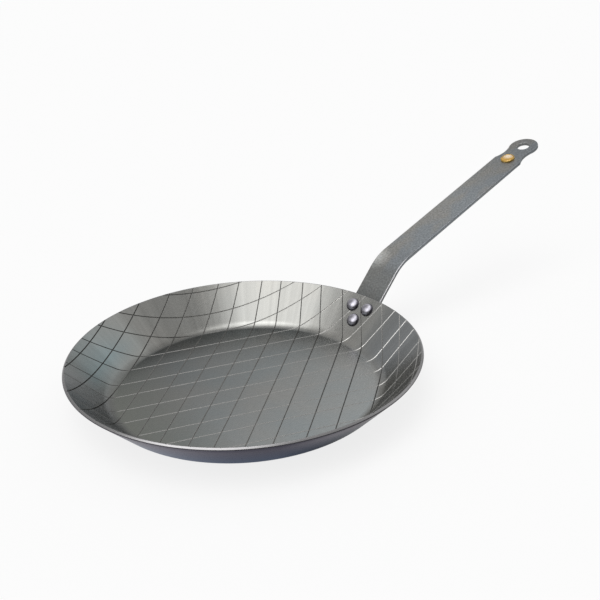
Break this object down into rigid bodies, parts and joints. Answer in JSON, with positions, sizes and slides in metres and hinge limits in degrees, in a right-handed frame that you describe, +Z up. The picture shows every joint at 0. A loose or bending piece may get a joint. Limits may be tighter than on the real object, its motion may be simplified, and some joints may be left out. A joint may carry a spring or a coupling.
{
  "type": "steak pan",
  "caption": "Shallow round steel pan with a scribed diamond grid inside, sloping walls and a long flat bent handle held by rivets, ending in a hanging eye.",
  "frame": {"origin": "middle of the underside of the flat base", "axes": "+X out along the handle, +Z up, +Y to the left of the handle seen from the pan"},
  "size_m": [0.5121, 0.28, 0.1208],
  "materials": {
    "pan_steel": "bare satin carbon steel",
    "handle_steel": "matte mottled steel strip",
    "rivet_steel": "polished",
    "badge_brass": "polished",
    "badge_amber": "glossy amber dome"
  },
  "bodies": {
    "root": {"pan_body": "pan_steel", "handle": "handle_steel", "rivet_upper_left": "rivet_steel", "rivet_upper_right": "rivet_steel", "rivet_lower": "rivet_steel", "badge_cup": "badge_brass", "badge_dome": "badge_amber"}
  },
  "joints": []
}
